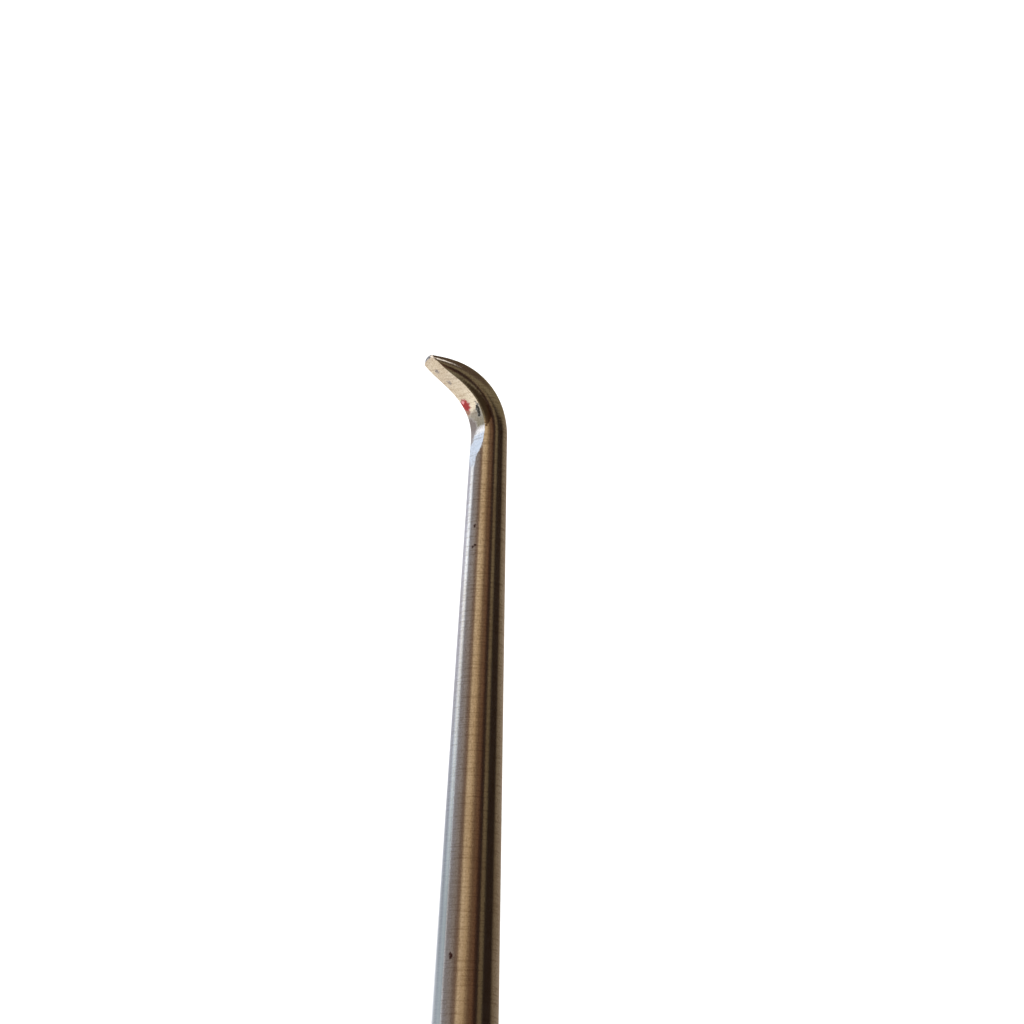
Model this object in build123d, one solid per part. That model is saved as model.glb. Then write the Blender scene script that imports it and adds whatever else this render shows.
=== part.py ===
"""Double-ended adjustable engineer's scriber: a hooked, hollow-ground blade at one end and a straight
carbide-tipped needle at the other, each held by a collet chuck in a knurled steel handle.

The tool lies on the flats of its two hexagonal collars. +X runs along it towards the hook, +Z is up,
and the origin is on the bench, under the middle of the tool. Turned pieces are drawn about the local
Z axis, at their distance outwards from the middle of the handle, and then laid along +X or -X.
"""

from build123d import *
from math import cos, sin, sqrt
import os

# ---- driving sizes, mm ----
stock_r = 2.5              # blade stock, and the parallel part of the needle
tail_edge = 0.5            # chamfer of the stock's tail
grip_half = 27.0           # half the length of the knurled sleeve
grip_r = 6.25
grip_edge = 0.5            # chamfers of the sleeve and of the chuck nut's knurled part
core_r = 5.0               # tube under the sleeve
band_len = 1.4
band_r = 6.6
band_edge = 0.3
hex_len = 7.0
hex_flats = 15.0           # across flats
spigot_r = 4.5             # M9 x 0.75 thread, at its crest
spigot_len = 10.6
spigot_edge = 0.5
socket_r = 3.6             # bore that holds the collet's tail
socket_depth = 10.4
cord_r = 0.75              # section of the O-ring
nut_r = 6.2
nut_grip_len = 12.4        # knurled length of the chuck nut
nut_nose_r = 3.9
nut_nose_len = 6.6
nut_edge = 0.3             # chamfers of the nut's nose and mouth
collet_edge = 0.3          # chamfer of the collet's tail
collar_len = 1.0           # collet collar that seats on the spigot's end
collar_r = 3.95
cone_len = 4.2             # collet nose
cone_big_r = 3.7
cone_small_r = 3.0
slit_width = 0.6
slit_end = 2.0             # unslit length left at the collet's tail
ring_len = 3.8
ring_r = 4.4
ring_edge = 0.2
snap_r = 0.3               # section of the snap wire
snap_gap = 0.9             # gap between the snap wire's ends
tail_start = 12.0          # blade and needle tails, from the middle of the handle
stop_half = 3.0            # half the length of the centre stop
pin_r = 1.0
pin_edge = 0.2
pin_sunk = 0.2             # each end of the pin below the sleeve's surface

shank_parallel = 3.0       # hooked blade, from the nut's nose to where the taper starts
shank_taper = 49.5
neck_r = 1.27              # blade radius where the bend starts
bend_len = 7.43            # length of the bent finger along its centre line
bend_curve = 0.194         # curvature at the start of the bend, 1/mm
bend_gain = 0.407          # how much the bend tightens along the finger, 1/mm
bend_ease = 0.695          # how much it straightens again towards the toe, 1/mm
toe_r = 0.50               # back of the finger at the toe
toe_power = 3.2            # how late the back thins
toe_drop = 0.21            # fall of the hollow face just past the toe
finger_sections = 10       # round sections that the finger is lofted through
heel = 2.1                 # where the hollow face runs out, behind the bend
face_shares = (-0.05, 0.37, 0.63, 0.88, 1.0)    # places along the finger, as shares of its length
face_lifts = (0.92, 0.88, 0.83, 0.58, 0.19)     # hollow face from the centre line at those places
heel_lifts = (1.34, 1.08)                       # at the heel, and half way from there to the bend

stem_r = 2.3               # ground stem of the needle, for a surface gauge clamp
stem_start = 1.0           # from the nut's nose
stem_len = 13.0
needle_taper = 28.0
needle_end_r = 1.15
needle_edge = (0.2, 0.3)   # rounding of the steel round the carbide: off the radius, off the length
carbide_r = 0.8
carbide_held = 7.0         # length brazed into the needle
carbide_out = 2.0          # parallel length that shows
carbide_cone = 4.0
carbide_tip_r = 0.05

# ---- clearances, mm ----
running = 0.05             # radial, between pieces that turn or slide in each other
thread_gap = 0.05
bore_gap = 0.3             # through bore round the stock
nose_gap = 0.4             # nut's mouth round the stock
face_gap = 0.02            # between faces that seat on each other
nut_gap = 0.1              # nut from the O-ring
ring_gap = 0.05            # closing ring from the nut's shoulder
cone_gap = 0.08            # closing ring from the collet's cone, square to the axis
tail_gap = 0.4             # collet's tail from the bottom of its socket
seat_gap = 0.5             # nut's bore step from the spigot's end

# ---- places worked out from the sizes, outwards from the middle of the handle ----
band_end = grip_half + band_len
hex_end = band_end + hex_len
spigot_end = hex_end + spigot_len
axis_height = hex_flats / 2
nut_start = hex_end + 2 * cord_r + nut_gap
collar_start = spigot_end + face_gap
cone_start = collar_start + collar_len
cone_end = cone_start + cone_len
ring_start = cone_start + 2 * snap_r
ring_end = ring_start + ring_len
shoulder = ring_end + ring_gap
snap_u = ring_start - snap_r - face_gap
seat_start = spigot_end + seat_gap
nut_cone_start = nut_start + nut_grip_len
nut_end = nut_cone_start + nut_nose_len
neck_u = nut_end + shank_parallel + shank_taper


def turned(*points):
    """A solid of revolution from (radius, distance along the tool) points."""
    outline = Polyline(*[(r, 0, u) for r, u in points], close=True)
    return revolve(make_face(outline), Axis.Z)


def hoop(middle_r, section_r, u):
    """A ring of round section."""
    return Pos(0, 0, u) * Torus(middle_r, section_r)


def finger_radius(share):
    return neck_r - (neck_r - toe_r) * share**toe_power


def finger_line(stations, steps=400):
    """Centre line of the bent finger: (y, u, angle) at each of the stations, as shares of its length."""
    places = []
    y, u, angle = 0.0, neck_u, 0.0
    step = 1 / steps
    for i in range(steps + 1):
        if any(abs(i * step - share) < step / 2 for share in stations):
            places.append((y, u, angle))
        share = (i + 0.5) * step
        angle += (bend_curve + bend_gain * share - bend_ease * share**2) * bend_len * step
        y += sin(angle) * bend_len * step
        u += cos(angle) * bend_len * step
    return places


def face_track():
    """Points of the hollow face in the plane of the bend, from the heel to past the toe."""
    track = [(0, heel_lifts[0], neck_u - heel), (0, heel_lifts[1], neck_u - heel / 2)]
    places = finger_line([max(share, 0) for share in face_shares])
    for share, lift, (y, u, angle) in zip(face_shares, face_lifts, places):
        back = min(share, 0) * bend_len
        track.append((0, y + lift * cos(angle), u + back - lift * sin(angle)))
    toe_y, toe_u, toe_angle = places[-1]
    lift = face_lifts[-1] - toe_drop
    past = 2 * toe_r
    over_y = toe_y + past * sin(toe_angle) + lift * cos(toe_angle)
    over_u = toe_u + past * cos(toe_angle) - lift * sin(toe_angle)
    track.append((0, over_y, over_u))
    return track


def make_hooked_blade():
    shank = turned(
        (0, tail_start),
        (stock_r - tail_edge, tail_start),
        (stock_r, tail_start + tail_edge),
        (stock_r, nut_end + shank_parallel),
        (neck_r, neck_u),
        (0, neck_u),
    )
    shares = [i / finger_sections for i in range(finger_sections + 1)]
    line = finger_line(shares)
    sections = []
    for share, (y, u, angle) in zip(shares, line):
        across = Plane(origin=(0, y, u), x_dir=(1, 0, 0), z_dir=(0, sin(angle), cos(angle)))
        sections.append(across * Circle(finger_radius(share)))
    finger = loft(sections)
    toe_y, toe_u, toe_angle = line[-1]
    toe = Pos(0, toe_y, toe_u) * Sphere(toe_r)

    face = face_track()
    past_heel = face[0][2] - heel / 2
    clear_y = face[-1][1] + heel
    back = Polyline(
        face[-1],
        (0, clear_y, face[-1][2]),
        (0, clear_y, past_heel),
        (0, stock_r, past_heel),
        face[0],
    )
    hollow = extrude(make_face(Spline(*face) + back), amount=2 * stock_r, dir=(1, 0, 0), both=True)
    return (shank + finger + toe) - hollow


def make_needle():
    stem_u = nut_end + stem_start
    taper_u = stem_u + stem_len
    end_u = taper_u + needle_taper
    body = turned(
        (0, tail_start),
        (stock_r - tail_edge, tail_start),
        (stock_r, tail_start + tail_edge),
        (stock_r, stem_u),
        (stem_r, stem_u),
        (stem_r, taper_u),
        (needle_end_r, end_u - needle_edge[1]),
        (needle_end_r - needle_edge[0], end_u),
        (0, end_u),
    )
    bore = turned(
        (0, end_u - carbide_held), (carbide_r, end_u - carbide_held), (carbide_r, end_u), (0, end_u)
    )
    point_u = end_u + carbide_out
    point = turned(
        (0, end_u - carbide_held),
        (carbide_r, end_u - carbide_held),
        (carbide_r, point_u),
        (carbide_tip_r, point_u + carbide_cone),
        (0, point_u + carbide_cone),
    )
    return body - bore, point


def make_core():
    bore_r = stock_r + bore_gap
    half = turned(
        (bore_r, 0),
        (core_r, 0),
        (core_r, hex_end),
        (spigot_r, hex_end),
        (spigot_r, spigot_end - spigot_edge),
        (spigot_r - spigot_edge, spigot_end),
        (socket_r, spigot_end),
        (socket_r, spigot_end - socket_depth),
        (bore_r, spigot_end - socket_depth),
    )
    pin_hole = Rot(0, 90, 0) * Cylinder(pin_r, 4 * core_r)
    return half + mirror(half, Plane.XY) - pin_hole


def make_grip_sleeve():
    sleeve = turned(
        (core_r, -grip_half),
        (grip_r - grip_edge, -grip_half),
        (grip_r, grip_edge - grip_half),
        (grip_r, grip_half - grip_edge),
        (grip_r - grip_edge, grip_half),
        (core_r, grip_half),
    )
    return sleeve - Rot(0, 90, 0) * Cylinder(pin_r, 4 * grip_r)


def make_centre_stop():
    return Cylinder(stock_r + bore_gap, 2 * stop_half) - Rot(0, 90, 0) * Cylinder(pin_r, 4 * stock_r)


def make_stop_pin():
    pin = chamfer(Cylinder(pin_r, 2 * (grip_r - pin_sunk)).edges(), pin_edge)
    return Rot(0, 90, 0) * pin


def make_band():
    return turned(
        (core_r, grip_half),
        (band_r - band_edge, grip_half),
        (band_r, grip_half + band_edge),
        (band_r, band_end - band_edge),
        (band_r - band_edge, band_end),
        (core_r, band_end),
    )


def make_hex_collar():
    corner_r = hex_flats / sqrt(3)
    hexagon = Pos(0, 0, band_end) * extrude(RegularPolygon(corner_r, 6, rotation=30), amount=hex_len)
    slope = corner_r - hex_flats / 2
    rounding = turned(
        (core_r, band_end),
        (hex_flats / 2, band_end),
        (corner_r, band_end + slope),
        (corner_r, hex_end - slope),
        (hex_flats / 2, hex_end),
        (core_r, hex_end),
    )
    return hexagon & rounding


def make_o_ring():
    return hoop(spigot_r + cord_r, cord_r, hex_end + cord_r)


def make_collet():
    tail_r = socket_r - running
    bore_r = stock_r + running
    tail_u = spigot_end - socket_depth + tail_gap
    body = turned(
        (bore_r, tail_u),
        (tail_r - collet_edge, tail_u),
        (tail_r, tail_u + collet_edge),
        (tail_r, collar_start),
        (collar_r, collar_start),
        (collar_r, cone_start),
        (cone_big_r, cone_start),
        (cone_small_r, cone_end),
        (bore_r, cone_end),
    )
    slit_len = cone_end - tail_u - slit_end
    for turn in (0, 90):
        body -= Pos(0, 0, cone_end - slit_len / 2) * Rot(0, 0, turn) * Box(3 * socket_r, slit_width, slit_len)
    return body


def cone_radius(u):
    return cone_big_r - (cone_big_r - cone_small_r) * (u - cone_start) / cone_len


def make_closing_ring():
    return turned(
        (cone_radius(ring_start) + cone_gap, ring_start),
        (ring_r, ring_start),
        (ring_r, ring_end - ring_edge),
        (ring_r - ring_edge, ring_end),
        (cone_radius(ring_end) + cone_gap, ring_end),
    )


def make_snap_wire():
    ring = hoop(ring_r + running, snap_r, snap_u)
    return ring - Pos(ring_r, 0, snap_u) * Box(4 * snap_r, snap_gap, 4 * snap_r)


def make_chuck_nut():
    thread_r = spigot_r + thread_gap
    seat_r = ring_r + running
    mouth_r = stock_r + nose_gap
    body = turned(
        (thread_r, nut_start),
        (nut_r - grip_edge, nut_start),
        (nut_r, nut_start + grip_edge),
        (nut_r, nut_cone_start - grip_edge),
        (nut_r - grip_edge, nut_cone_start),
        (nut_nose_r, nut_end - nut_edge),
        (nut_nose_r - nut_edge, nut_end),
        (mouth_r + nut_edge, nut_end),
        (mouth_r, nut_end - nut_edge),
        (mouth_r, shoulder),
        (seat_r, shoulder),
        (seat_r, seat_start),
        (thread_r, seat_start),
    )
    return body - hoop(seat_r, snap_r + face_gap, snap_u)


def main():
    hooked_blade = make_hooked_blade()
    scribing_needle, carbide_point = make_needle()
    front_reach = hooked_blade.bounding_box().max.Z
    rear_reach = carbide_point.bounding_box().max.Z
    middle = (rear_reach - front_reach) / 2

    def front(shape):
        return Pos(middle, 0, axis_height) * Rot(0, 90, 0) * shape

    def rear(shape):
        return Pos(middle, 0, axis_height) * Rot(0, -90, 0) * shape

    nodes = {
        "handle_core": front(make_core()),
        "grip_sleeve": front(make_grip_sleeve()),
        "centre_stop": front(make_centre_stop()),
        "stop_pin": front(make_stop_pin()),
        "hooked_blade": front(hooked_blade),
        "scribing_needle": rear(scribing_needle),
        "carbide_point": rear(carbide_point),
    }
    both_ends = {
        "band": make_band(),
        "hex_collar": make_hex_collar(),
        "o_ring": make_o_ring(),
        "collet": make_collet(),
        "closing_ring": make_closing_ring(),
        "snap_wire": make_snap_wire(),
        "chuck_nut": make_chuck_nut(),
    }
    for name, shape in both_ends.items():
        nodes["front_" + name] = front(shape)
        nodes["rear_" + name] = rear(shape)

    os.makedirs("parts", exist_ok=True)
    for name, shape in nodes.items():
        export_step(shape, f"parts/{name}.step")
    print("middle of the handle at x =", round(middle, 3), "mm; axis at z =", axis_height, "mm")
    print("nut nose at", nut_end, "neck at", neck_u, "reaches", front_reach, rear_reach)


main()
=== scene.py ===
"""Looks of the double-ended scriber: hooked blade, carbide needle, collet chucks and knurled handle."""

from math import asin, cos, pi, radians, sin, sqrt, tan

import bmesh
import bpy
from mathutils import Matrix, Vector


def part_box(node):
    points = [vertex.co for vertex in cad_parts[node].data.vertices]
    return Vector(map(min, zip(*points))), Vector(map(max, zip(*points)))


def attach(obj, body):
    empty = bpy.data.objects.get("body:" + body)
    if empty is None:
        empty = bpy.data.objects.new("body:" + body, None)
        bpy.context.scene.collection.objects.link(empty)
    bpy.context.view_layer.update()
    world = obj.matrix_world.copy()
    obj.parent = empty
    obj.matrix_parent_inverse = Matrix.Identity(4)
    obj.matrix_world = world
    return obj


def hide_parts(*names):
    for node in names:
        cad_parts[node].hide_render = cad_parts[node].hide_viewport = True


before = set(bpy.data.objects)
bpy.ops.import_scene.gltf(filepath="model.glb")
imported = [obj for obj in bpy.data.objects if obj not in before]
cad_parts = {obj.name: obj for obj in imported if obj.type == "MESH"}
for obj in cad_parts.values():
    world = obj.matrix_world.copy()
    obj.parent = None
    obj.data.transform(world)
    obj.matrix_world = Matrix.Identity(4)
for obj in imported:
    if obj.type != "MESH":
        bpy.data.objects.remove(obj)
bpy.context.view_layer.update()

MM = 0.001
WELD = 0.0005 * MM
AROUND = 160                # sides of a turned piece


# ---- places from the frame ----

def middle(node):
    low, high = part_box(node)
    return (low + high) / 2


def girth(node):
    """Half the node's height."""
    low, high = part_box(node)
    return (high.z - low.z) / 2


AXIS_Z = middle("handle_core").z
MIDDLE_X = middle("handle_core").x
FRONT, REAR = 1, -1


def inner_end(node):
    """Distance from the middle of the handle to the near end of a front node."""
    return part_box(node)[0].x - MIDDLE_X


def outer_end(node):
    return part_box(node)[1].x - MIDDLE_X


GRIP_HALF, GRIP_R = outer_end("grip_sleeve"), girth("grip_sleeve")
CORE_R = girth("handle_core")
BAND_END, BAND_R = outer_end("front_band"), girth("front_band")
HEX_END, HEX_HALF = outer_end("front_hex_collar"), girth("front_hex_collar")
RING_OUTER = girth("front_o_ring")
CORD_R = (outer_end("front_o_ring") - inner_end("front_o_ring")) / 2
NUT_START, NUT_R = inner_end("front_chuck_nut"), girth("front_chuck_nut")
NUT_NOSE = outer_end("front_chuck_nut")
SPIGOT_END = outer_end("handle_core")
SHOULDER = outer_end("front_closing_ring") + 0.05 * MM
SEAT_R = girth("front_closing_ring") + 0.05 * MM
TAIL = inner_end("hooked_blade")
STOCK_R = girth("hooked_blade")
NEEDLE_END = MIDDLE_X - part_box("scribing_needle")[0].x
POINT_END = MIDDLE_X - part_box("carbide_point")[0].x
PIN_R = (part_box("stop_pin")[1].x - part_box("stop_pin")[0].x) / 2


# ---- shader helpers ----

class Value:
    """A socket that can be used in arithmetic."""

    def __init__(self, shader, socket):
        self.shader = shader
        self.socket = socket

    def math(self, operation, first, second=0.0):
        return self.shader.node("ShaderNodeMath", {"operation": operation}, {0: first, 1: second})

    def __add__(self, other):
        return self.math("ADD", self, other)

    def __radd__(self, other):
        return self.math("ADD", other, self)

    def __sub__(self, other):
        return self.math("SUBTRACT", self, other)

    def __rsub__(self, other):
        return self.math("SUBTRACT", other, self)

    def __mul__(self, other):
        return self.math("MULTIPLY", self, other)

    def __rmul__(self, other):
        return self.math("MULTIPLY", other, self)

    def __truediv__(self, other):
        return self.math("DIVIDE", self, other)

    def __rtruediv__(self, other):
        return self.math("DIVIDE", other, self)

    def __pow__(self, other):
        return self.math("POWER", self, other)


class Shader:
    """A node tree: node() adds any node, and the rest are the few that come up often."""

    def __init__(self, tree):
        self.tree = tree
        tree.nodes.clear()

    def node(self, kind, settings=None, inputs=None, output=0):
        made = self.tree.nodes.new(kind)
        for name, value in (settings or {}).items():
            if name == "stops":
                self.set_stops(made.color_ramp, value)
            else:
                setattr(made, name, value)
        for name, value in (inputs or {}).items():
            if isinstance(value, Value):
                self.tree.links.new(value.socket, made.inputs[name])
            else:
                made.inputs[name].default_value = value
        return Value(self, made.outputs[output]) if made.outputs else None

    def set_stops(self, ramp, stops):
        while len(ramp.elements) < len(stops):
            ramp.elements.new(1.0)
        for element, (place, color) in zip(ramp.elements, stops):
            element.position = place
            element.color = (*color, 1.0)

    def split(self, vector):
        made = self.tree.nodes.new("ShaderNodeSeparateXYZ")
        self.tree.links.new(vector.socket, made.inputs[0])
        return [Value(self, socket) for socket in made.outputs]

    def step(self, value, low, high):
        """0 below low, 1 above high, smooth between."""
        return self.node(
            "ShaderNodeMapRange",
            {"interpolation_type": "SMOOTHSTEP"},
            {"Value": value, "From Min": low, "From Max": high},
        )

    def band(self, value, low, high, soft):
        """1 between low and high, 0 outside, with soft edges."""
        return self.step(value, low - soft, low + soft) * (1 - self.step(value, high - soft, high + soft))

    def mix(self, factor, first, second):
        """Sockets 6 and 7 are the colour pair, and output 2 the colour."""
        return self.node(
            "ShaderNodeMix", {"data_type": "RGBA", "clamp_factor": True}, {0: factor, 6: first, 7: second}, 2
        )

    def ramp(self, factor, stops):
        return self.node("ShaderNodeValToRGB", {"stops": stops}, {0: factor})

    def noise(self, vector, per_metre, detail, roughness, output=0):
        """Noise with its own number of features to the metre along X, Y and Z."""
        scaled = self.node("ShaderNodeMapping", None, {"Vector": vector, "Scale": per_metre})
        inputs = {"Vector": scaled, "Scale": 1.0, "Detail": detail, "Roughness": roughness}
        return self.node("ShaderNodeTexNoise", None, inputs, output)

    def distance(self, vector, place):
        return self.node("ShaderNodeVectorMath", {"operation": "DISTANCE"}, {0: vector, 1: place}, 1)

    def near(self, vector, place, reach):
        """1 at a place on the piece, fading to 0 at reach from it."""
        return 1 - self.step(self.distance(vector, place), reach * 0.55, reach)

    def arctan2(self, sine, cosine):
        return self.node("ShaderNodeMath", {"operation": "ARCTAN2"}, {0: sine, 1: cosine})


def linear(channel):
    return channel / 12.92 if channel <= 0.04045 else ((channel + 0.055) / 1.055) ** 2.4


def tone(red, green, blue, gain=1.0):
    """A colour as it looks on screen, 0 to 255, made linear."""
    return tuple(gain * linear(c / 255) for c in (red, green, blue))


# ---- camera, light and floor ----

TURN = 0.50                 # camera round the tool's axis, towards the hollow face, radians
TILT = 0.25                 # camera leant back towards the handle, radians
LEAN = radians(2.28)        # roll of the picture
FIELD = 71.1 * MM           # width of the view at the blade
DISTANCE = 450 * MM
SENSOR = 36.0
SHANK_PARALLEL = 3.0 * MM   # hooked blade, from the nut's nose to where its taper starts
NECK = NUT_NOSE + SHANK_PARALLEL + 49.5 * MM
AIM_BACK = 5.29 * MM        # the camera looks at this far behind the neck
AIM_ASIDE = 1.81 * MM

STUDIO_GAIN = 1.6           # strips are this much brighter than they look in the steel
STRIPS = (                  # where each shows across the round shank, -1 left edge to 1 right, and its colour
    (1.0, (146, 132, 116)), (0.80, (102, 88, 68)), (0.73, (32, 18, 6)), (0.51, (26, 12, 3)),
    (0.46, (84, 72, 50)), (0.38, (98, 82, 58)), (0.33, (28, 10, 2)), (0.24, (42, 18, 6)),
    (0.16, (90, 62, 40)), (0.05, (94, 70, 48)), (-0.03, (128, 104, 76)), (-0.10, (164, 139, 104)),
    (-0.27, (182, 160, 128)), (-0.33, (112, 90, 72)), (-0.42, (106, 90, 80)), (-0.50, (128, 119, 113)),
    (-0.71, (128, 127, 132)), (-0.76, (215, 222, 230)), (-0.81, (252, 255, 255)), (-0.86, (218, 225, 238)),
    (-0.90, (171, 173, 185)), (-1.0, (171, 173, 185)),
)
BENCH = (                   # what the hollow face sees below, from ahead of the tool at 0 to behind it at 1
    (0.0, (208, 196, 178)), (0.24, (228, 218, 196)), (0.285, (246, 236, 214)), (0.32, (158, 152, 142)),
    (0.54, (132, 128, 112)), (0.565, (226, 228, 236)), (0.62, (246, 248, 255)),
)


def make_camera():
    towards = Vector((-sin(TILT), sin(TURN) * cos(TILT), cos(TURN) * cos(TILT)))
    aside = Vector((0, -cos(TURN), sin(TURN)))
    along = towards.cross(aside)
    up = cos(LEAN) * along - sin(LEAN) * aside
    right = cos(LEAN) * aside + sin(LEAN) * along
    aim = Vector((MIDDLE_X + NECK - AIM_BACK, 0, AXIS_Z)) + right * AIM_ASIDE
    place = aim + towards * DISTANCE
    data = bpy.data.cameras.new("camera")
    data.sensor_width = SENSOR
    data.lens = SENSOR * DISTANCE / FIELD
    data.clip_start = 0.01
    data.clip_end = 20
    camera = bpy.data.objects.new("camera", data)
    turn = Matrix((right, up, towards)).transposed().to_4x4()
    camera.matrix_world = Matrix.Translation(place) @ turn
    bpy.context.scene.collection.objects.link(camera)
    bpy.context.scene.camera = camera


def make_world():
    """A plain pale room, with soft strips and cards along the tool that only the steel's gloss sees."""
    world = bpy.data.worlds.new("studio")
    bpy.context.scene.world = world
    world.use_nodes = True
    shader = Shader(world.node_tree)
    direction = shader.node("ShaderNodeTexCoord", output="Generated")
    rolled = shader.node("ShaderNodeMapping", None, {"Vector": direction, "Rotation": (TURN, 0, 0)})
    along, side, up = shader.split(rolled)
    angle = shader.arctan2(side, up)
    stops = [(0.5 - asin(across) / pi, tone(*color, STUDIO_GAIN)) for across, color in STRIPS]
    studio = shader.ramp(angle / (2 * pi) + 0.5, stops)
    _, leftward, height = shader.split(direction)
    downward = height * -1
    ahead = along * -1
    inside = shader.step(leftward, -0.45, -0.25)

    def card(mask, color, gain=STUDIO_GAIN):
        return shader.mix(mask, studio, (*tone(*color, gain), 1))

    studio = card(shader.step(along, 0.34, 0.42), (100, 88, 64))
    studio = card(shader.step(along, 0.55, 0.68), (72, 57, 42))
    studio = card(shader.step(ahead, -0.05, 0.12) * shader.step(height, 0.45, 0.6) * inside, (94, 84, 62))
    lamp = shader.step(along, 0.78, 0.88) * shader.step(angle, radians(-71), radians(-68))
    studio = card(lamp, (255, 248, 238), 1.7)
    bench = shader.ramp((along + 1) / 2, [(place, tone(*color, STUDIO_GAIN)) for place, color in BENCH])
    cream = shader.step(ahead, 0.28, 0.36) * (1 - shader.step(height, 0.1, 0.3))
    greys = shader.step(downward, 0.4, 0.6) * (1 - shader.step(along, 0.18, 0.22))
    studio = shader.mix((1 - (1 - cream) * (1 - greys)) * inside, studio, bench)
    heel = shader.step(along, 0.28, 0.33) * shader.step(downward, 0.5, 0.6) * shader.step(leftward, 0.0, 0.15)
    studio = card(heel, (200, 214, 234))
    glossy = shader.node("ShaderNodeLightPath", output="Is Glossy Ray")
    seen = shader.mix(glossy, (1.0, 1.0, 1.0, 1), studio)
    background = shader.node("ShaderNodeBackground", None, {"Color": seen, "Strength": 1.0})
    shader.node("ShaderNodeOutputWorld", None, {"Surface": background})


def make_floor():
    shape = bmesh.new()
    bmesh.ops.create_grid(shape, x_segments=1, y_segments=1, size=3.0)
    mesh = bpy.data.meshes.new("floor")
    shape.to_mesh(mesh)
    shape.free()
    floor = bpy.data.objects.new("floor", mesh)
    bpy.context.scene.collection.objects.link(floor)
    floor.visible_glossy = False
    material = bpy.data.materials.new("pale_floor")
    material.use_nodes = True
    shader = Shader(material.node_tree)
    surface = shader.node(
        "ShaderNodeBsdfPrincipled",
        None,
        {"Base Color": (0.93, 0.93, 0.93, 1), "Roughness": 0.9, "Specular IOR Level": 0.1},
    )
    shader.node("ShaderNodeOutputMaterial", None, {"Surface": surface})
    mesh.materials.append(material)


def make_lights():
    for name, place, size, power in (
        ("key", (0.3, 0.5, 0.9), 0.9, 7.0),
        ("fill", (-0.4, -0.6, 0.8), 0.9, 4.0),
    ):
        data = bpy.data.lights.new(name, "AREA")
        data.size = size
        data.energy = power
        light = bpy.data.objects.new(name, data)
        light.location = place
        light.rotation_euler = (-Vector(place)).to_track_quat("-Z", "Y").to_euler()
        light.visible_glossy = False
        bpy.context.scene.collection.objects.link(light)


# ---- mesh helpers: shapes are made about the local Z axis and laid along the tool ----

def lay(side):
    """From a shape drawn about Z, at its distance from the middle, to the front or the rear of the tool."""
    turn = Matrix.Rotation(side * pi / 2, 4, "Y")
    return Matrix.Translation((MIDDLE_X, 0, AXIS_Z)) @ turn


def finish_mesh(shape, name, material, body, *nodes, side=FRONT, sharp=28):
    """Makes the drawn shape a piece of the tool, in the same slot of the record as its material."""
    bmesh.ops.recalc_face_normals(shape, faces=shape.faces)
    bmesh.ops.transform(shape, matrix=lay(side), verts=shape.verts)
    mesh = bpy.data.meshes.new(name)
    shape.to_mesh(mesh)
    shape.free()
    mesh.shade_smooth()
    mesh.set_sharp_from_angle(angle=radians(sharp))
    piece = bpy.data.objects.new(name, mesh)
    bpy.context.scene.collection.objects.link(piece)
    mesh.materials.append(material)
    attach(piece, body)
    if nodes:
        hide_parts(*nodes)
    return piece


def finish_node(node, material):
    """A material for a CAD node that stays."""
    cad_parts[node].data.materials.clear()
    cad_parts[node].data.materials.append(material)


def only(made, kind):
    """The new vertices or edges of an operator's result."""
    return [g for g in made["geom"] if isinstance(g, kind)]


def turned(points):
    """A ring spun from a closed outline of (radius, distance) points, or a solid if it ends on the axis."""
    shape = bmesh.new()
    verts = [shape.verts.new((radius, 0, u)) for radius, u in points]
    edges = [shape.edges.new(pair) for pair in zip(verts, verts[1:])]
    if points[0][0] > 0:
        edges.append(shape.edges.new((verts[-1], verts[0])))
    bmesh.ops.spin(
        shape,
        geom=verts + edges,
        cent=(0, 0, 0),
        axis=(0, 0, 1),
        dvec=(0, 0, 0),
        angle=2 * pi,
        steps=AROUND,
        use_merge=True,
    )
    bmesh.ops.remove_doubles(shape, verts=shape.verts, dist=WELD)
    return shape


def rim(shape, u):
    """Open edges at a distance along the tool."""
    return [e for e in shape.edges if e.is_boundary and all(abs(v.co.z - u) < WELD for v in e.verts)]


def carry(shape, edges, stations):
    """Extends an open rim through (radius, distance) stations, and returns the last rim."""
    for radius, u in stations:
        made = bmesh.ops.extrude_edge_only(shape, edges=edges)
        edges = only(made, bmesh.types.BMEdge)
        for vert in only(made, bmesh.types.BMVert):
            flat = vert.co.xy.normalized() * radius
            vert.co = (flat.x, flat.y, u)
    return edges


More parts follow.
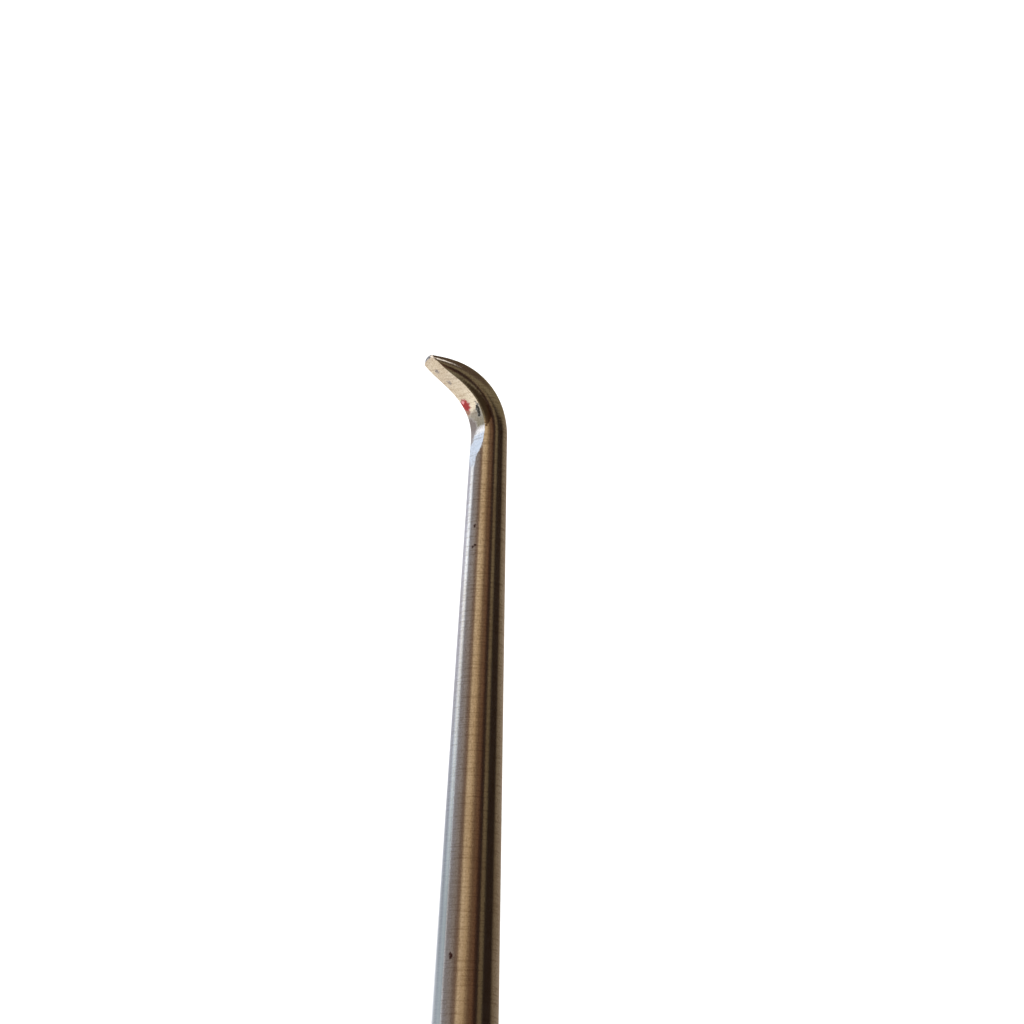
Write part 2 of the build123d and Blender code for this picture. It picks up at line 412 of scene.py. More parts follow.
def knurl(crest_r, start, end, around):
    """An open drum of flat-topped diamonds in crossed rows, from start to end."""
    shape = bmesh.new()
    groove_r = crest_r - KNURL_DEPTH
    half_turn = pi / around
    half_len = groove_r * half_turn / tan(KNURL_ANGLE)
    corners = ((half_turn, 0), (0, half_len), (-half_turn, 0), (0, -half_len))

    def diamond(radius, size):
        places = [(radius * cos(a * size), radius * sin(a * size), u * size) for a, u in corners]
        return [shape.verts.new(place) for place in places]

    groove = diamond(groove_r, 1)
    crest = diamond(crest_r, KNURL_CREST)
    shape.faces.new(crest)
    for i in range(4):
        shape.faces.new((groove[i - 1], groove[i], crest[i], crest[i - 1]))
    bmesh.ops.spin(
        shape,
        geom=[*shape.verts, *shape.edges, *shape.faces],
        cent=(0, 0, 0),
        axis=(0, 0, 1),
        dvec=(0, 0, 0),
        angle=2 * pi - 2 * half_turn,
        steps=around - 1,
        use_duplicate=True,
    )
    row = [*shape.verts, *shape.edges, *shape.faces]
    rows = int((end - start) / half_len) + 3
    for i in range(1, rows):
        verts = only(bmesh.ops.duplicate(shape, geom=row), bmesh.types.BMVert)
        turn = Matrix.Rotation(i * half_turn, 3, "Z")
        bmesh.ops.rotate(shape, verts=verts, cent=(0, 0, 0), matrix=turn)
        bmesh.ops.translate(shape, verts=verts, vec=(0, 0, i * half_len))
    middle_row = (rows - 1) / 2 * half_len
    bmesh.ops.translate(shape, verts=shape.verts, vec=(0, 0, (start + end) / 2 - middle_row))
    bmesh.ops.remove_doubles(shape, verts=shape.verts, dist=WELD)
    for u, outwards in ((start, -1), (end, 1)):
        bmesh.ops.bisect_plane(
            shape,
            geom=[*shape.verts, *shape.edges, *shape.faces],
            dist=WELD / 10,
            plane_co=(0, 0, u),
            plane_no=(0, 0, outwards),
            clear_outer=True,
        )
    return shape


def combine(shape, other, operation):
    """shape with other taken away from it, or what the two share, as a fresh bmesh."""
    objects = []
    for source in (shape, other):
        bmesh.ops.recalc_face_normals(source, faces=source.faces)
        mesh = bpy.data.meshes.new("rough")
        source.to_mesh(mesh)
        source.free()
        piece = bpy.data.objects.new("rough", mesh)
        bpy.context.scene.collection.objects.link(piece)
        objects.append(piece)
    modifier = objects[0].modifiers.new("combine", "BOOLEAN")
    modifier.operation = operation
    modifier.solver = "EXACT"
    modifier.object = objects[1]
    bpy.context.view_layer.update()
    evaluated = objects[0].evaluated_get(bpy.context.evaluated_depsgraph_get())
    result = bmesh.new()
    result.from_mesh(evaluated.to_mesh())
    for piece in objects:
        mesh = piece.data
        bpy.data.objects.remove(piece)
        bpy.data.meshes.remove(mesh)
    return result


def break_edges(shape, width, angle=30):
    """A small rounding along every edge sharper than the angle."""
    edges = [e for e in shape.edges if e.is_manifold and e.calc_face_angle() > radians(angle)]
    bmesh.ops.bevel(
        shape,
        geom=edges,
        offset=width,
        segments=2,
        profile=0.5,
        affect="EDGES",
        material=-1,
        clamp_overlap=True,
    )


# ---- handle ----

KNURL_DEPTH = 0.36 * MM
KNURL_ANGLE = radians(30)
KNURL_CREST = 0.2           # flat top of each diamond, as a share of it
GRIP_DIAMONDS = 32
EDGE = 0.5 * MM             # chamfers at the ends of the knurling


def make_grip_sleeve(material):
    sleeve = knurl(GRIP_R, EDGE - GRIP_HALF, GRIP_HALF - EDGE, GRIP_DIAMONDS)
    ends = []
    for side in (1, -1):
        face = ((GRIP_R - EDGE - 0.05 * MM, side * GRIP_HALF), (CORE_R, side * GRIP_HALF))
        ends += carry(sleeve, rim(sleeve, side * (GRIP_HALF - EDGE)), face)
    bmesh.ops.bridge_loops(sleeve, edges=ends)
    hole = bmesh.new()
    across = Matrix.Rotation(pi / 2, 4, "Y")
    bmesh.ops.create_cone(
        hole, cap_ends=True, segments=48, radius1=PIN_R, radius2=PIN_R, depth=3 * GRIP_R, matrix=across
    )
    for side in (1, -1):
        rise = Matrix.Translation((side * (GRIP_R + 0.1 * MM), 0, 0)) @ Matrix.Rotation(side * pi / 2, 4, "Y")
        sink = bmesh.new()
        bmesh.ops.create_cone(
            sink,
            cap_ends=True,
            segments=48,
            radius1=0.6 * PIN_R,
            radius2=1.75 * PIN_R,
            depth=1.1 * MM,
            matrix=rise,
        )
        sleeve = combine(sleeve, sink, "DIFFERENCE")
    sleeve = combine(sleeve, hole, "DIFFERENCE")
    finish_mesh(sleeve, "knurled_grip_sleeve", material, "handle", "grip_sleeve")


def make_band(end, side, material):
    edge = 0.25 * MM
    middle_u = (GRIP_HALF + BAND_END) / 2
    groove = 0.2 * MM
    band = turned(
        [
            (CORE_R, GRIP_HALF),
            (BAND_R - edge, GRIP_HALF),
            (BAND_R, GRIP_HALF + edge),
            (BAND_R, middle_u - groove),
            (BAND_R - groove, middle_u),
            (BAND_R, middle_u + groove),
            (BAND_R, BAND_END - edge),
            (BAND_R - edge, BAND_END),
            (CORE_R, BAND_END),
        ]
    )
    break_edges(band, 0.05 * MM)
    finish_mesh(band, end + "_grooved_band", material, "handle", end + "_band", side=side)


def make_hex_collar(end, side, material):
    corner_r = HEX_HALF / cos(pi / 6)
    slope = corner_r - HEX_HALF
    blank = turned(
        [
            (CORE_R, BAND_END),
            (HEX_HALF - 0.05 * MM, BAND_END),
            (corner_r, BAND_END + slope),
            (corner_r, HEX_END - slope),
            (HEX_HALF - 0.05 * MM, HEX_END),
            (CORE_R, HEX_END),
        ]
    )
    prism = bmesh.new()
    bmesh.ops.create_cone(
        prism,
        cap_ends=True,
        segments=6,
        radius1=corner_r,
        radius2=corner_r,
        depth=2 * (HEX_END - BAND_END),
        matrix=Matrix.Translation((0, 0, (BAND_END + HEX_END) / 2)),
    )
    break_edges(prism, 0.2 * MM)
    collar = combine(blank, prism, "INTERSECT")
    finish_mesh(collar, end + "_chamfered_hex_collar", material, "handle", end + "_hex_collar", side=side)


def make_o_ring(end, side, material):
    turns = [i * pi / 12 for i in range(24)]
    section = [(RING_OUTER - CORD_R + CORD_R * cos(a), HEX_END + CORD_R + CORD_R * sin(a)) for a in turns]
    finish_mesh(turned(section), end + "_seal_ring", material, "handle", end + "_o_ring", side=side, sharp=60)


NUT_DIAMONDS = 32
NUT_GRIP_LEN = 12.4 * MM
NOSE_R = 3.9 * MM
MOUTH_R = STOCK_R + 0.4 * MM
THREAD_R = 4.55 * MM


def make_chuck_nut(end, side, material):
    """Knurled drum with a turned relief, a tapered nose and a stepped bore."""
    grip_end = NUT_START + NUT_GRIP_LEN - 1.1 * MM
    nut = knurl(NUT_R, NUT_START + EDGE, grip_end, NUT_DIAMONDS)
    taper = NUT_START + NUT_GRIP_LEN
    edge = 0.3 * MM
    outside = (
        (NUT_R - 0.75 * MM, grip_end + 0.3 * MM),
        (NUT_R - 0.85 * MM, grip_end + 0.4 * MM),
        (NUT_R - 0.85 * MM, grip_end + 0.9 * MM),
        (NUT_R - EDGE - 0.08 * MM, taper - 0.08 * MM),
        (NUT_R - EDGE - 0.03 * MM, taper + 0.02 * MM),
        (NUT_R - EDGE - 0.1 * MM, taper + 0.3 * MM),
        (NOSE_R + 0.05 * MM, NUT_NOSE - edge - 0.1 * MM),
        (NOSE_R - 0.03 * MM, NUT_NOSE - edge + 0.05 * MM),
        (NOSE_R - edge + 0.05 * MM, NUT_NOSE - 0.03 * MM),
        (NOSE_R - edge - 0.05 * MM, NUT_NOSE),
        (MOUTH_R + edge, NUT_NOSE),
        (MOUTH_R, NUT_NOSE - edge),
        (MOUTH_R, SHOULDER),
        (SEAT_R, SHOULDER),
        (SEAT_R, SPIGOT_END + 0.5 * MM),
        (THREAD_R, SPIGOT_END + 0.5 * MM),
    )
    ends = carry(nut, rim(nut, grip_end), outside)
    back = ((NUT_R - EDGE - 0.05 * MM, NUT_START), (THREAD_R + edge, NUT_START), (THREAD_R, NUT_START + edge))
    ends += carry(nut, rim(nut, NUT_START + EDGE), back)
    bmesh.ops.bridge_loops(nut, edges=ends)
    finish_mesh(nut, end + "_knurled_nut", material, end + "_nut", end + "_chuck_nut", side=side)


# ---- needle ----

STEM_START = NUT_NOSE + 1.0 * MM
STEM_END = STEM_START + 13.0 * MM
STEM_R = 2.3 * MM
NEEDLE_R = 1.15 * MM        # where the taper ends
CARBIDE_R = 0.8 * MM
CARBIDE_HELD = 7.0 * MM
CARBIDE_CONE = 4.0 * MM


def make_needle(steel, braze, carbide):
    edge = 0.5 * MM
    needle = turned(
        [
            (0, TAIL),
            (STOCK_R - edge, TAIL),
            (STOCK_R, TAIL + edge),
            (STOCK_R, STEM_START - 0.1 * MM),
            (STOCK_R - 0.1 * MM, STEM_START),
            (STEM_R - 0.08 * MM, STEM_START + 0.05 * MM),
            (STEM_R - 0.08 * MM, STEM_START + 0.5 * MM),
            (STEM_R, STEM_START + 0.6 * MM),
            (STEM_R, STEM_END),
            (NEEDLE_R, NEEDLE_END - 0.3 * MM),
            (NEEDLE_R - 0.06 * MM, NEEDLE_END - 0.1 * MM),
            (NEEDLE_R - 0.2 * MM, NEEDLE_END),
            (CARBIDE_R, NEEDLE_END),
            (CARBIDE_R, NEEDLE_END - CARBIDE_HELD),
            (0, NEEDLE_END - CARBIDE_HELD),
        ]
    )
    finish_mesh(needle, "ground_scribing_needle", steel, "needle", "scribing_needle", side=REAR)
    fillet = turned(
        [
            (CARBIDE_R, NEEDLE_END),
            (NEEDLE_R - 0.22 * MM, NEEDLE_END),
            (CARBIDE_R + 0.06 * MM, NEEDLE_END + 0.05 * MM),
            (CARBIDE_R + 0.015 * MM, NEEDLE_END + 0.14 * MM),
            (CARBIDE_R, NEEDLE_END + 0.22 * MM),
        ]
    )
    finish_mesh(fillet, "braze_fillet", braze, "needle", side=REAR, sharp=80)
    tip_r = 0.05 * MM
    cone_start = POINT_END - CARBIDE_CONE
    point = turned(
        [
            (0, NEEDLE_END - CARBIDE_HELD),
            (CARBIDE_R, NEEDLE_END - CARBIDE_HELD),
            (CARBIDE_R, cone_start - 0.04 * MM),
            (CARBIDE_R - 0.01 * MM, cone_start + 0.04 * MM),
            (tip_r, POINT_END - tip_r),
            (tip_r * 0.7, POINT_END - tip_r * 0.3),
            (0, POINT_END),
        ]
    )
    finish_mesh(point, "ground_carbide_point", carbide, "needle", "carbide_point", side=REAR)


# ---- hooked blade ----

NECK_R = 1.27 * MM
BEND_LEN = 7.43 * MM        # length of the bent finger along its centre line
BEND_CURVE, BEND_GAIN, BEND_EASE = 194, 407, 695      # curvature, how it tightens and how it eases, 1/m
TOE_R = 0.50 * MM
TOE_POWER = 3.2             # how late the back thins
TOE_BLUNT = 0.6             # how far the rounded toe reaches, as a share of its radius
TWIST_START, TWIST_GAIN, TWIST_END = 0.06, 0.19, 0.31    # turn of the face about the finger, radians
HEEL = 2.1 * MM             # where the hollow face runs out, behind the neck
FACE = (                    # hollow face: share of the finger's length, distance from its centre line in mm
    (-0.28, 1.36), (-0.14, 1.12), (-0.05, 0.98), (0.37, 0.93), (0.63, 0.85), (0.88, 0.58), (1.0, 0.19),
)


def finger_line(count):
    """Centre line of the bent finger at count + 1 even stations: (share, y, distance, angle)."""
    places = [(0.0, 0.0, NECK, 0.0)]
    fine = 20               # short steps from one station to the next
    y, u, angle = 0.0, NECK, 0.0
    step = 1 / (count * fine)
    for i in range(count * fine):
        share = (i + 0.5) * step
        angle += (BEND_CURVE + BEND_GAIN * share - BEND_EASE * share**2) * BEND_LEN * step
        y += sin(angle) * BEND_LEN * step
        u += cos(angle) * BEND_LEN * step
        if (i + 1) % fine == 0:
            places.append(((i + 1) * step, y, u, angle))
    return places


def ring_place(y, u, angle, radius):
    """Carries a circle of radius 1 about Z to its place across the centre line."""
    turn = Matrix.Rotation(-angle, 4, "X")
    return Matrix.Translation((0, y, u)) @ turn @ Matrix.Diagonal((radius, radius, radius, 1))


def sweep(stations):
    """A closed tube of round section through stations (y, distance, angle, radius)."""
    shape = bmesh.new()
    place = ring_place(*stations[0])
    ring = bmesh.ops.create_circle(shape, segments=AROUND, radius=1.0, matrix=place)["verts"]
    first = list(ring)
    edges = list(shape.edges)
    for station in stations[1:]:
        made = bmesh.ops.extrude_edge_only(shape, edges=edges)
        ring = only(made, bmesh.types.BMVert)
        edges = only(made, bmesh.types.BMEdge)
        fresh = ring_place(*station)
        bmesh.ops.transform(shape, matrix=fresh @ place.inverted(), verts=ring)
        place = fresh
    bmesh.ops.contextual_create(shape, geom=edges)
    start = [e for e in shape.edges if e.verts[0] in first and e.verts[1] in first]
    bmesh.ops.contextual_create(shape, geom=start)
    return shape


def finger_radius(share):
    return NECK_R - (NECK_R - TOE_R) * share**TOE_POWER


def face_offset(share):
    """Hollow face from the centre line, on a smooth curve through the points of FACE."""
    last = len(FACE) - 2
    i = max([0] + [k for k in range(last + 1) if FACE[k][0] <= share])
    (x0, y0), (x1, y1) = FACE[i], FACE[i + 1]
    rise = (y1 - y0) / (x1 - x0)
    before = (y0 - FACE[i - 1][1]) / (x0 - FACE[i - 1][0]) if i > 0 else rise
    after = (FACE[i + 2][1] - y1) / (FACE[i + 2][0] - x1) if i < last else rise
    m0, m1 = (before + rise) / 2, (rise + after) / 2
    t = (share - x0) / (x1 - x0)
    span = x1 - x0
    curve = (1 + 2 * t) * (1 - t) ** 2 * y0 + t * (1 - t) ** 2 * span * m0
    curve += t * t * (3 - 2 * t) * y1 + t * t * (t - 1) * span * m1
    return curve * MM


def face_twist(share):
    """The face turns towards the tool's top along the finger."""
    along = max(share, 0)
    return TWIST_START + TWIST_GAIN * along + TWIST_END * along**3


def face_place(y, u, angle, lift, share):
    """Where a line drawn across the hollow face goes."""
    turn = Matrix.Rotation(face_twist(share), 4, "Z")
    return ring_place(y, u, angle, 1) @ Matrix.Translation((0, lift, 0)) @ turn


CUTTER_HALF = 1.9 * MM      # half the wheel's width, and how deep the cutter reaches
CUTTER_STEPS = 12
CUTTER_PAST = 1.6 * MM      # how far it runs on beyond the toe
HEEL_STEPS = 20


def grinding_cutter(line):
    """What the wheel takes away: a ribbon along the hollow face, thickened towards the inside of the bend."""
    stations = [(0, NECK - 1.5 * HEEL, 0, (FACE[0][1] + 0.12) * MM, 0)]
    for i in range(HEEL_STEPS):
        share = FACE[0][0] * (1 - i / HEEL_STEPS)
        stations.append((0, NECK + share * BEND_LEN, 0, face_offset(share), share))
    stations += [(y, u, angle, face_offset(share), share) for share, y, u, angle in line]
    share, y, u, angle = line[-1]
    y, u = y + CUTTER_PAST * sin(angle), u + CUTTER_PAST * cos(angle)
    stations.append((y, u, angle, face_offset(share) - 0.25 * MM, share))
    shape = bmesh.new()
    across = [CUTTER_HALF * (2 * i / CUTTER_STEPS - 1) for i in range(CUTTER_STEPS + 1)]
    ring = [shape.verts.new((x, 0, 0)) for x in across]
    edges = [shape.edges.new(pair) for pair in zip(ring, ring[1:])]
    place = Matrix.Identity(4)
    away = {}
    for i, station in enumerate(stations):
        if i:
            made = bmesh.ops.extrude_edge_only(shape, edges=edges)
            ring = only(made, bmesh.types.BMVert)
            edges = only(made, bmesh.types.BMEdge)
        fresh = face_place(*station)
        bmesh.ops.transform(shape, matrix=fresh @ place.inverted(), verts=ring)
        place = fresh
        angle = station[2]
        away.update((vert, Vector((0, cos(angle), -sin(angle))) * CUTTER_HALF) for vert in ring)
    lift = {tuple(vert.co): move for vert, move in away.items()}
    made = bmesh.ops.extrude_face_region(shape, geom=list(shape.faces), use_keep_orig=True)
    for vert in only(made, bmesh.types.BMVert):
        vert.co += lift[tuple(vert.co)]
    return shape


STOCK_STEPS, TAPER_STEPS, FINGER_STEPS, TOE_STEPS = 12, 60, 90, 10
TOE_ROUND = 86.4            # how far round the toe's end closes, degrees


def make_hooked_blade(material):
    line = finger_line(FINGER_STEPS)
    edge = 0.5 * MM
    stations = [(0, TAIL, 0, STOCK_R - edge), (0, TAIL + edge, 0, STOCK_R)]
    taper_start = NUT_NOSE + SHANK_PARALLEL
    for i in range(1, STOCK_STEPS):
        stations.append((0, TAIL + (taper_start - TAIL) * i / STOCK_STEPS, 0, STOCK_R))
    for i in range(TAPER_STEPS):
        share = i / TAPER_STEPS
        radius = STOCK_R + (NECK_R - STOCK_R) * share
        stations.append((0, taper_start + (NECK - taper_start) * share, 0, radius))
    for share, y, u, angle in line:
        stations.append((y, u, angle, finger_radius(share)))
    share, y, u, angle = line[-1]
    for i in range(1, TOE_STEPS):
        turn = radians(TOE_ROUND) * i / (TOE_STEPS - 1)
        ahead = TOE_R * TOE_BLUNT * sin(turn)
        stations.append((y + ahead * sin(angle), u + ahead * cos(angle), angle, TOE_R * cos(turn)))
    blade = combine(sweep(stations), grinding_cutter(line), "DIFFERENCE")
    finish_mesh(blade, "ground_hooked_blade", material, "hook", "hooked_blade")


# ---- finishes, one for each slot of the record ----

def start_material(slot):
    material = bpy.data.materials.new(slot + "_finish")
    material["slot"] = slot
    material.use_nodes = True
    shader = Shader(material.node_tree)
    place = shader.node("ShaderNodeTexCoord", output="Object")
    return material, shader, place


def end_material(shader, color, roughness, metallic, height, strength, depth):
    """depth is how far the bump's height of 1 stands above its 0."""
    bump = shader.node("ShaderNodeBump", None, {"Strength": strength, "Distance": depth, "Height": height})
    inputs = {"Base Color": color, "Metallic": metallic, "Roughness": roughness, "Normal": bump}
    surface = shader.node("ShaderNodeBsdfPrincipled", None, inputs)
    shader.node("ShaderNodeOutputMaterial", None, {"Surface": surface})


def axis_radius(shader, place):
    _, y, z = shader.split(place)
    return (y * y + (z - AXIS_Z) ** 2) ** 0.5


FINGER_PLACES = 100         # places along the finger where a mark can be


def finger_place(share, lift, aside):
    """A place on the tool: share of the finger's length, lift off its centre line, aside towards its top."""
    if share < 0:
        return Vector((MIDDLE_X + NECK + share * BEND_LEN, lift, AXIS_Z + aside))
    _, y, u, angle = finger_line(FINGER_PLACES)[min(round(share * FINGER_PLACES), FINGER_PLACES)]
    past = max(share - 1, 0) * BEND_LEN
    x, y = u + past * cos(angle) - lift * sin(angle), y + past * sin(angle) + lift * cos(angle)
    return Vector((MIDDLE_X + x, y, AXIS_Z + aside))


def edge_place(share, below):
    """A place on the outer skin, this far below the hollow face's top edge."""
    lift = face_offset(share) - below
    aside = sqrt(max(finger_radius(share) ** 2 - lift**2, 0))
    turn = face_twist(share)
    return finger_place(share, lift - aside * sin(turn), aside * cos(turn))


EDGE_SPOTS = 36             # overlapping spots of painted shade beside the hollow face
SHADE_START, SHADE_LEN = 0.1, 0.88    # where the painted shade starts, and its length, as shares of the finger
TOE_SHADE = (-0.42, -0.24, -0.06)     # spots of painted shade on the toe's end, aside towards the top, mm
RUST = (            # behind the neck, round from the top towards the hollow side in degrees, size; mm
    (6.59, 59, 0.15), (7.98, 57, 0.15), (8.14, 62, 0.16), (36.9, 60.5, 0.19), (37.05, 58.5, 0.13),
    (17.5, -40, 0.10), (24.6, -75, 0.12), (12.0, 200, 0.24), (29.0, 160, 0.20),
)
FACE_MARKS = (      # marks on the hollow face, some of them painted light as noted: share of the finger, aside towards the top and size in mm, colour, how strong
    (0.12, -0.75, 0.95, (0.14, 0.11, 0.105), 0.9),
    (-0.02, -0.90, 0.60, (0.17, 0.14, 0.135), 0.8),
    # painted reflection: a pale blue patch on the heel of the hollow face
    (-0.10, 0.35, 0.60, (0.42, 0.50, 0.60), 0.6),
    # painted reflection: five black spots making a thin dark wedge near the hollow face's top edge
    (0.38, 0.72, 0.24, (0.01, 0.011, 0.009), 1.0),
    (0.345, 0.69, 0.28, (0.01, 0.011, 0.009), 1.0),
    (0.31, 0.66, 0.30, (0.01, 0.011, 0.009), 1.0),
    (0.275, 0.63, 0.28, (0.01, 0.011, 0.009), 1.0),
    (0.24, 0.60, 0.24, (0.01, 0.011, 0.009), 1.0),
    (0.91, 0.12, 0.20, (0.12, 0.09, 0.08), 0.8),
    (0.75, 0.10, 0.18, (0.12, 0.09, 0.08), 0.7),
    (0.66, -0.55, 0.24, (0.12, 0.09, 0.08), 0.8),
    (0.34, -0.50, 0.42, (0.24, 0.10, 0.06), 0.9),
    (0.42, -0.38, 0.58, (0.28, 0.0, 0.008), 1.0),
    # painted highlight on the drop of dye
    (0.46, -0.42, 0.18, (0.78, 0.36, 0.38), 0.8),
)


def rust_place(back, degrees):
    """A place on the tapered shank, this far behind the neck."""
    taper = NECK - NUT_NOSE - SHANK_PARALLEL
    radius = NECK_R + (STOCK_R - NECK_R) * back / taper
    turn = radians(degrees)
    return Vector((MIDDLE_X + NECK - back, radius * sin(turn), AXIS_Z + radius * cos(turn)))


def edge_shade(shader, place):
    """1 on the painted shade: a dark line beside the hollow face and round the toe's end."""
    spots = [(finger_place(1.04, -0.1 * MM, aside * MM), 0.28 * MM) for aside in TOE_SHADE]
    for i in range(EDGE_SPOTS):
        share = i / (EDGE_SPOTS - 1)
        reach = min(0.12 + 1.6 * share, 0.34 - 0.22 * share) * MM
        spots.append((edge_place(SHADE_START + SHADE_LEN * share, reach), reach))
    gap = 9.0               # to the nearest spot, in that spot's own size
    for spot, reach in spots:
        away = shader.distance(place, spot) / reach
        gap = shader.node("ShaderNodeMath", {"operation": "MINIMUM"}, {0: away, 1: gap})
    return 1 - shader.step(gap, 0.6, 1.0)


def blade_steel():
    """Ground tool steel: fine rings from the wheel, streaks, rust specks and a drop of red layout dye, with
    painted reflection, painted shade and a painted highlight on the shank and the hollow face.
    """
    material, shader, place = start_material("blade_steel")
    rings = shader.noise(place, (9000, 500, 500), 3, 0.6)
    grain = shader.noise(place, (6500, 9000, 9000), 2, 0.6)
    streaks = shader.noise(place, (90, 2600, 2600), 3, 0.6)
    clouds = shader.noise(place, (200, 460, 460), 3, 0.55)
    color = shader.mix(shader.step(clouds, 0.35, 0.68), (0.70, 0.68, 0.66, 1), (0.62, 0.575, 0.53, 1))
    color = shader.mix(shader.step(rings, 0.48, 0.68) * 0.45, color, (0.36, 0.29, 0.24, 1))
    color = shader.mix(shader.step(grain, 0.50, 0.72) * 0.45, color, (0.38, 0.31, 0.25, 1))
    color = shader.mix((1 - shader.step(grain, 0.28, 0.46)) * 0.4, color, (0.90, 0.88, 0.86, 1))
    color = shader.mix(shader.step(streaks, 0.5, 0.75) * 0.25, color, (0.45, 0.40, 0.34, 1))

    x, y, z = shader.split(place)
    # painted reflection: the hollow side of the shank's far back is tinted blue, so the highlight it reflects
    # looks blue
    reflection_tint_side = shader.band(shader.arctan2(y, z - AXIS_Z), radians(76), radians(150), radians(3))
    far_back = 1 - shader.step(x, MIDDLE_X + NECK - 36 * MM, MIDDLE_X + NECK - 9 * MM)
    color = shader.mix(reflection_tint_side * far_back * 0.85, color, (0.155, 0.215, 0.24, 1))
    color = shader.mix(far_back * 0.22, color, (0.30, 0.24, 0.19, 1))

    ragged = shader.noise(place, (5000, 5000, 5000), 2, 0.5, "Color")
    wander = shader.node("ShaderNodeVectorMath", {"operation": "SUBTRACT"}, {0: ragged, 1: (0.5, 0.5, 0.5)})
    drift = shader.node("ShaderNodeVectorMath", {"operation": "SCALE"}, {0: wander, "Scale": 0.5 * MM})
    loose = shader.node("ShaderNodeVectorMath", {"operation": "ADD"}, {0: place, 1: drift})
    for back, degrees, size in RUST:
        rust = shader.near(loose, rust_place(back * MM, degrees), size * MM)
        color = shader.mix(rust * 0.95, color, (0.07, 0.015, 0.008, 1))
    # painted shade: a dark line along the hollow face's top edge and round the toe's end
    color = shader.mix(edge_shade(shader, place) * 0.85, color, (0.10, 0.06, 0.04, 1))
    # the face marks together, painted highlight and painted reflections among them; they take away the shine
    # of the metal
    marks_and_painted_light = 0.0
    for share, aside, size, paint, strength in FACE_MARKS:
        spot = finger_place(share, face_offset(share), aside * MM)
        mask = shader.near(loose, spot, size * MM) * strength
        color = shader.mix(mask, color, (*paint, 1))
        marks_and_painted_light = marks_and_painted_light + mask
    roughness = 0.09 + clouds * 0.06 + rings * 0.05 + marks_and_painted_light * 0.2
    end_material(shader, color, roughness, 1 - marks_and_painted_light * 0.9, rings + grain * 0.7, 0.45, 0.01 * MM)
    return material


def turned_steel(name, light, dark, base_roughness):
    """Machined steel with fine tool rings and slight staining."""
    material, shader, place = start_material(name)
    rings = shader.noise(place, (9000, 150, 150), 2, 0.6)
    stain = shader.noise(place, (140, 300, 300), 4, 0.6)
    color = shader.mix(shader.step(stain, 0.4, 0.7), (*light, 1), (*dark, 1))
    color = shader.mix(shader.step(rings, 0.4, 0.8) * 0.35, color, (*dark, 1))
    end_material(shader, color, base_roughness + stain * 0.12, 1.0, rings, 0.15, 0.01 * MM)
    return material


def knurled_plate(name, crest_r, light, dark):
    """Satin plate on the knurling, worn bright on the crests, with dirt held in the grooves."""
    material, shader, place = start_material(name)
    radius = axis_radius(shader, place)
    patches = shader.noise(place, (90, 160, 160), 4, 0.6)
    grain = shader.noise(place, (5200, 5200, 5200), 3, 0.6)
    deep = 1 - shader.step(radius, crest_r - 0.38 * MM, crest_r - 0.19 * MM)
    knurled = shader.step(radius, crest_r - 0.44 * MM, crest_r - 0.37 * MM)
    crest = shader.step(radius, crest_r - 0.09 * MM, crest_r - 0.02 * MM)
    color = shader.mix(shader.step(patches, 0.35, 0.7), (*light, 1), (*dark, 1))
    dirt = deep * knurled * (0.35 + patches * 0.6) + shader.step(grain, 0.62, 0.8) * 0.12
    color = shader.mix(dirt, color, (0.055, 0.045, 0.035, 1))
    color = shader.mix(crest * 0.6, color, (0.86, 0.85, 0.83, 1))
    roughness = 0.24 + patches * 0.12 + dirt * 0.4 - crest * 0.08
    end_material(shader, color, roughness, 1 - dirt * 0.6, grain, 0.10, 0.01 * MM)
    return material


def black_oxide():
    """Blackened steel that is rubbed back to grey along the hexagon's corners and chamfers."""
    material, shader, place = start_material("black_oxide")
    radius = axis_radius(shader, place)
    grain = shader.noise(place, (2600, 2600, 2600), 4, 0.65)
    clouds = shader.noise(place, (240, 240, 240), 3, 0.55)
    lines = shader.noise(place, (260, 9000, 260), 2, 0.6)
    corner_r = HEX_HALF / cos(pi / 6)
    rubbed = shader.step(radius + grain * 0.5 * MM, corner_r - 0.30 * MM, corner_r + 0.10 * MM)
    color = shader.mix(shader.step(clouds, 0.35, 0.7), (0.030, 0.031, 0.034, 1), (0.060, 0.054, 0.050, 1))
    color = shader.mix(shader.step(grain, 0.6, 0.8) * 0.4, color, (0.13, 0.12, 0.11, 1))
    color = shader.mix(rubbed * 0.9, color, (0.50, 0.49, 0.47, 1))
    roughness = 0.36 + clouds * 0.14 - rubbed * 0.12
    end_material(shader, color, roughness, 0.75 + rubbed * 0.25, grain + lines * 0.6, 0.14, 0.02 * MM)
    return material


def band_brass():
    """Turned brass, darker and browner in its groove."""
    material, shader, place = start_material("band_brass")
    radius = axis_radius(shader, place)
    rings = shader.noise(place, (12000, 120, 120), 2, 0.6)
    tarnish = shader.noise(place, (700, 260, 260), 4, 0.6)
    groove = 1 - shader.step(radius, BAND_R - 0.16 * MM, BAND_R - 0.03 * MM)
    color = shader.mix(shader.step(tarnish, 0.35, 0.7), (0.80, 0.58, 0.24, 1), (0.55, 0.36, 0.13, 1))
    color = shader.mix(groove * 0.7, color, (0.20, 0.12, 0.05, 1))
    color = shader.mix(shader.step(rings, 0.45, 0.8) * 0.3, color, (0.88, 0.70, 0.36, 1))
    end_material(shader, color, 0.20 + tarnish * 0.16 + groove * 0.2, 1.0, rings, 0.15, 0.01 * MM)
    return material


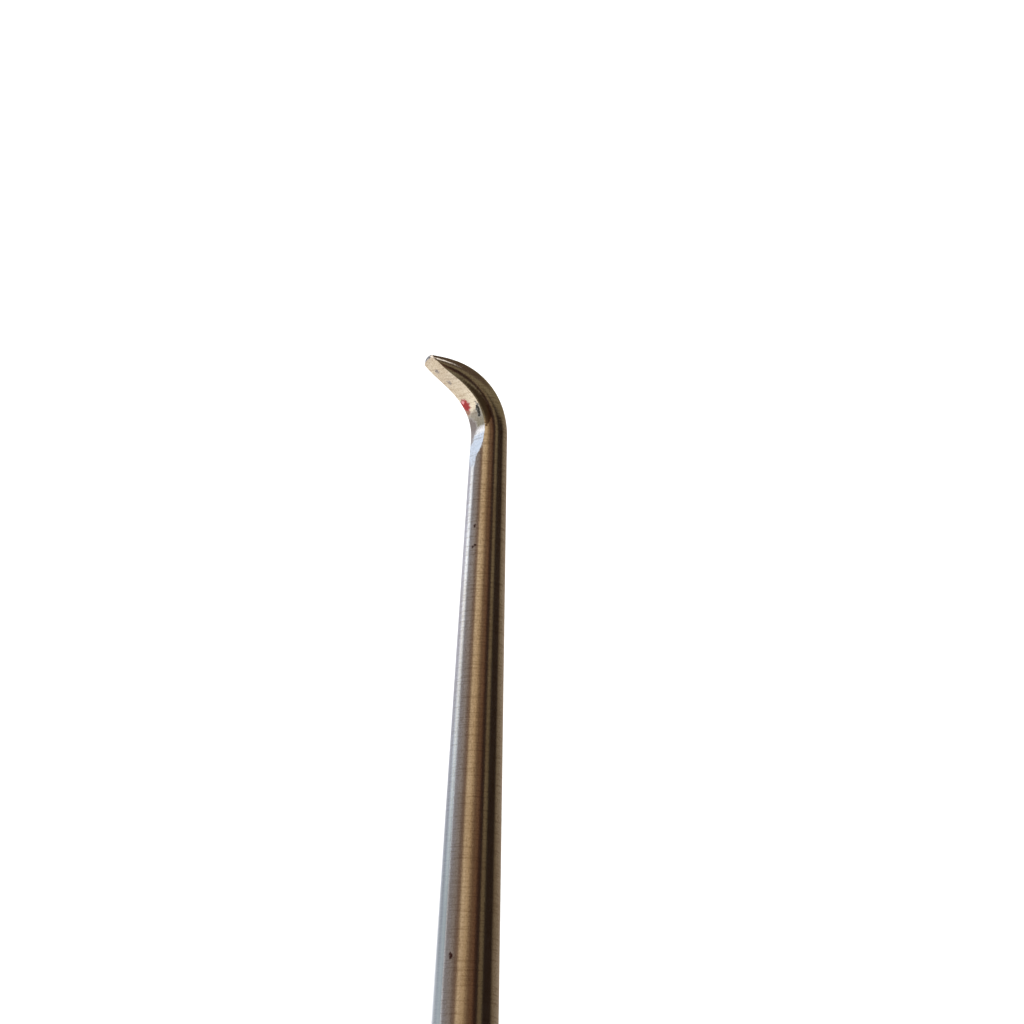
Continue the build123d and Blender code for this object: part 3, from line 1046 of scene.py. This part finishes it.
def seal_rubber():
    """Black nitrile rubber with a little bloom and dust."""
    material, shader, place = start_material("seal_rubber")
    bloom = shader.noise(place, (500, 500, 500), 4, 0.6)
    pores = shader.noise(place, (6000, 6000, 6000), 3, 0.6)
    color = shader.mix(shader.step(bloom, 0.4, 0.75), (0.018, 0.018, 0.019, 1), (0.05, 0.05, 0.048, 1))
    color = shader.mix(shader.step(pores, 0.66, 0.8) * 0.5, color, (0.14, 0.135, 0.13, 1))
    end_material(shader, color, 0.52 + bloom * 0.2, 0.0, pores, 0.12, 0.02 * MM)
    return material


def carbide():
    """Sintered carbide: dark grey, with the rings of the diamond wheel."""
    material, shader, place = start_material("carbide")
    rings = shader.noise(place, (16000, 300, 300), 2, 0.6)
    grain = shader.noise(place, (9000, 9000, 9000), 3, 0.6)
    color = shader.mix(shader.step(grain, 0.35, 0.7), (0.235, 0.235, 0.245, 1), (0.30, 0.295, 0.29, 1))
    color = shader.mix(shader.step(rings, 0.5, 0.8) * 0.4, color, (0.44, 0.44, 0.44, 1))
    end_material(shader, color, 0.20 + grain * 0.1, 1.0, rings, 0.14, 0.01 * MM)
    return material


make_camera()
make_world()
make_floor()
make_lights()

grip_plate = knurled_plate("grip_plate", GRIP_R, (0.66, 0.65, 0.63), (0.52, 0.50, 0.47))
nut_plate = knurled_plate("nut_plate", NUT_R, (0.72, 0.71, 0.69), (0.58, 0.56, 0.53))
core_steel = turned_steel("core_steel", (0.56, 0.55, 0.54), (0.38, 0.36, 0.34), 0.26)
needle_steel = turned_steel("needle_steel", (0.70, 0.69, 0.67), (0.55, 0.53, 0.50), 0.14)
spring_steel = turned_steel("spring_steel", (0.40, 0.41, 0.44), (0.27, 0.26, 0.27), 0.24)
hard_steel = turned_steel("hard_steel", (0.62, 0.61, 0.59), (0.45, 0.43, 0.41), 0.2)
wire_steel = turned_steel("wire_steel", (0.50, 0.49, 0.47), (0.34, 0.32, 0.30), 0.22)
oxide, brass, rubber = black_oxide(), band_brass(), seal_rubber()

make_hooked_blade(blade_steel())
make_needle(needle_steel, brass, carbide())
make_grip_sleeve(grip_plate)
for end, side in (("front", FRONT), ("rear", REAR)):
    make_band(end, side, brass)
    make_hex_collar(end, side, oxide)
    make_o_ring(end, side, rubber)
    make_chuck_nut(end, side, nut_plate)
    finish_node(end + "_collet", spring_steel)
    finish_node(end + "_closing_ring", hard_steel)
    finish_node(end + "_snap_wire", wire_steel)
finish_node("handle_core", core_steel)
finish_node("centre_stop", core_steel)
finish_node("stop_pin", hard_steel)
bpy.context.scene.view_settings.view_transform = "Standard"
